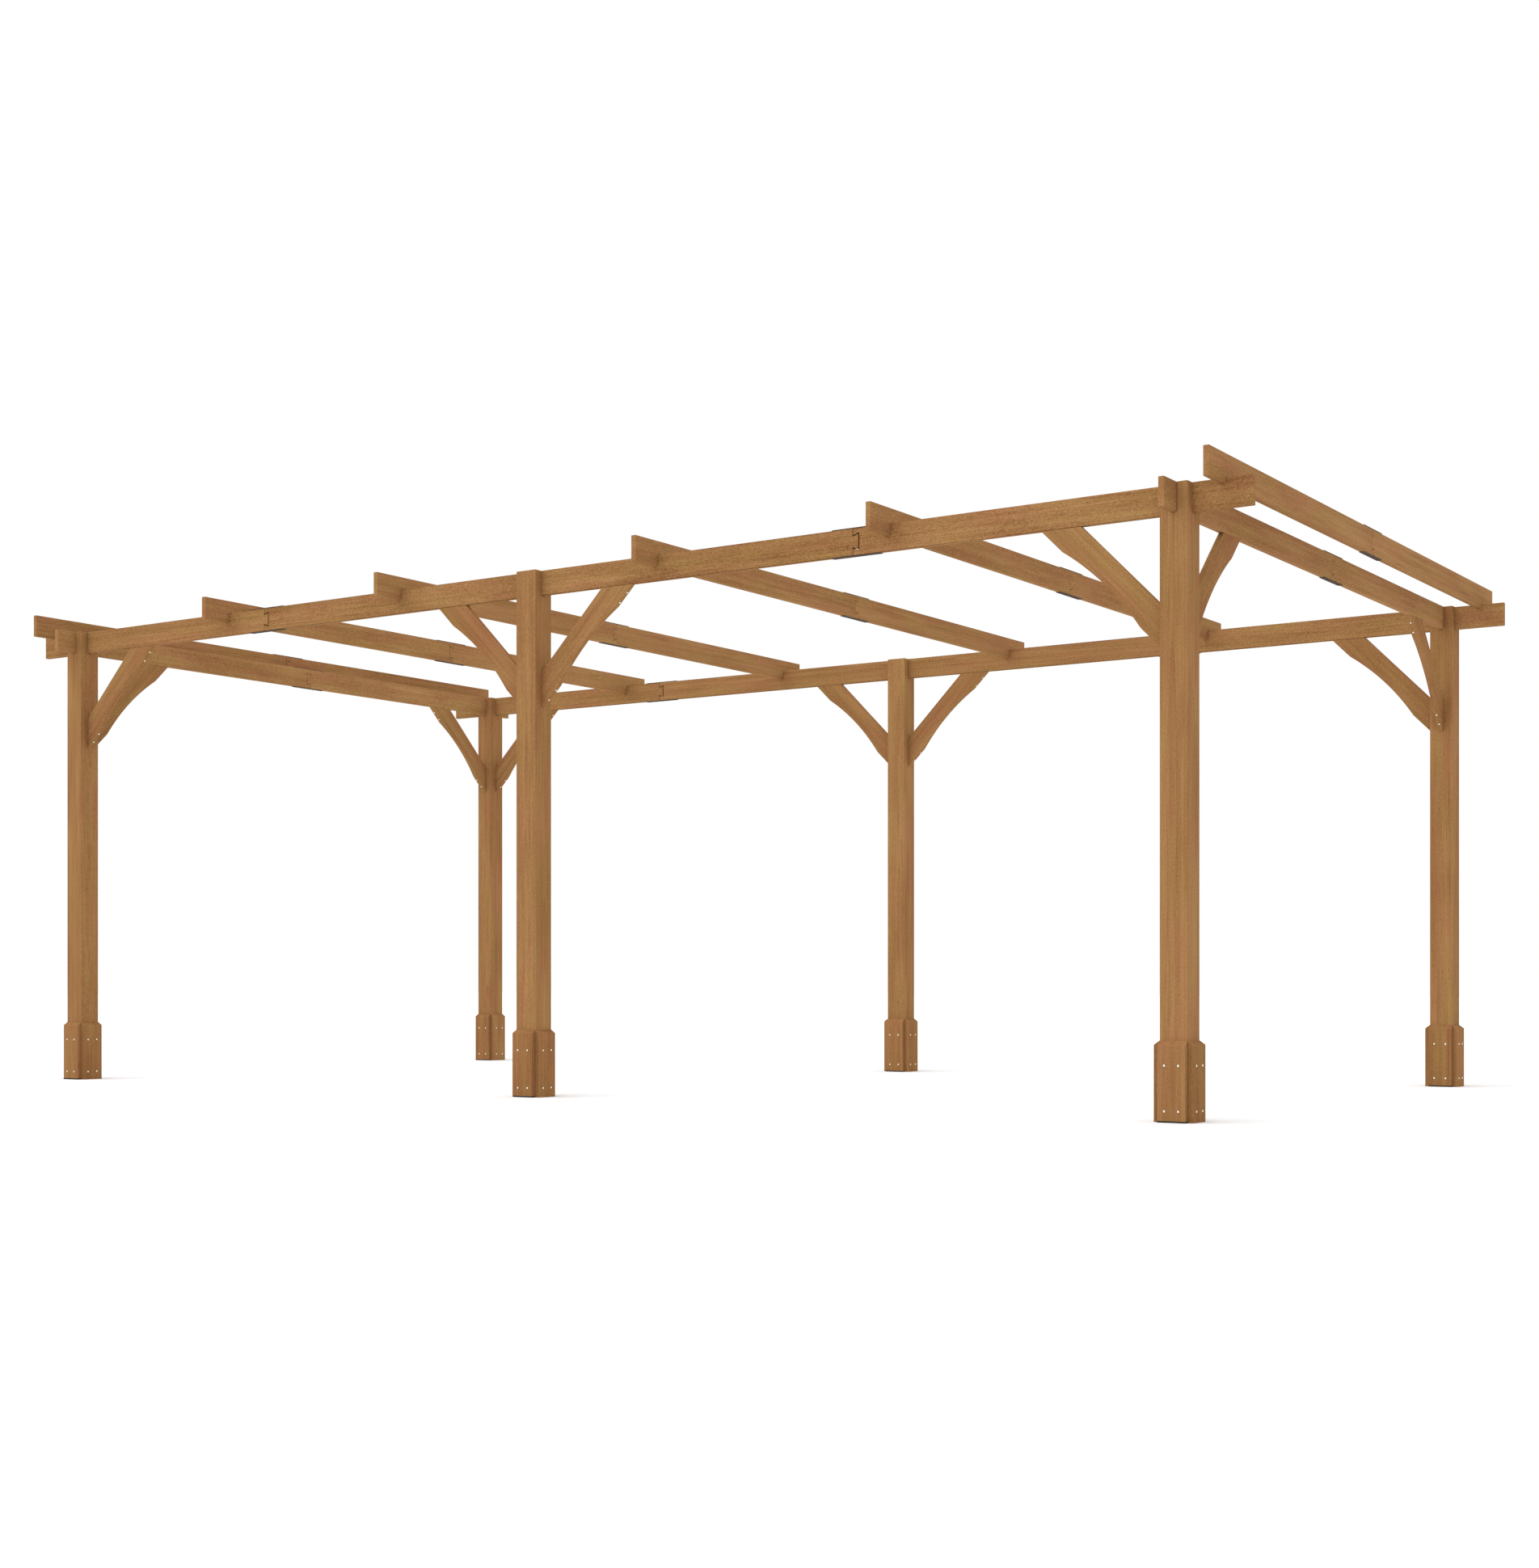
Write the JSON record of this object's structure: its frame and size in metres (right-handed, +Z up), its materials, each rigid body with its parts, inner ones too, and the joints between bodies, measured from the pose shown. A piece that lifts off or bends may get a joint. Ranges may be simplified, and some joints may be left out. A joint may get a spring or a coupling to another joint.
{
  "type": "wooden pergola",
  "caption": "Free-standing open timber pergola: square posts with board skirts, slotted beams, cross rafters and curved knee braces.",
  "frame": {"origin": "centre of the plan, on the ground under the posts", "axes": "+X along the long beams to the right seen from the front, +Y from the front row of posts to the rear row, +Z up"},
  "size_m": [7.356, 3.868, 2.65],
  "materials": {
    "timber": "satin brown wood stain over fine straight grain",
    "foot_steel": "near-black, dull paint",
    "plate_steel": "dark brown-grey, semi-matt"
  },
  "bodies": {
    "root": {"post_front_left": "timber", "post_front_middle": "timber", "post_front_right": "timber", "post_rear_left": "timber", "post_rear_middle": "timber", "post_rear_right": "timber", "skirt_front_left": "timber", "skirt_front_middle": "timber", "skirt_front_right": "timber", "skirt_rear_left": "timber", "skirt_rear_middle": "timber", "skirt_rear_right": "timber", "braces_front_left": "timber", "braces_front_middle": "timber", "braces_front_right": "timber", "braces_rear_left": "timber", "braces_rear_middle": "timber", "braces_rear_right": "timber", "long_beam_front_left": "timber", "long_beam_front_middle": "timber", "long_beam_front_right": "timber", "long_beam_rear_left": "timber", "long_beam_rear_middle": "timber", "long_beam_rear_right": "timber", "cross_beam_left_front": "timber", "cross_beam_left_rear": "timber", "cross_beam_right_front": "timber", "cross_beam_right_rear": "timber", "rafter_1_front": "timber", "rafter_1_rear": "timber", "rafter_2_front": "timber", "rafter_2_rear": "timber", "rafter_3_front": "timber", "rafter_3_rear": "timber", "rafter_4_front": "timber", "rafter_4_rear": "timber", "rafter_5_front": "timber", "rafter_5_rear": "timber", "rafter_6_front": "timber", "rafter_6_rear": "timber", "foot_plates": "foot_steel", "splice_plates_long_beams": "plate_steel", "splice_plates_cross_beams": "plate_steel", "splice_plates_rafters": "plate_steel"}
  },
  "joints": []
}
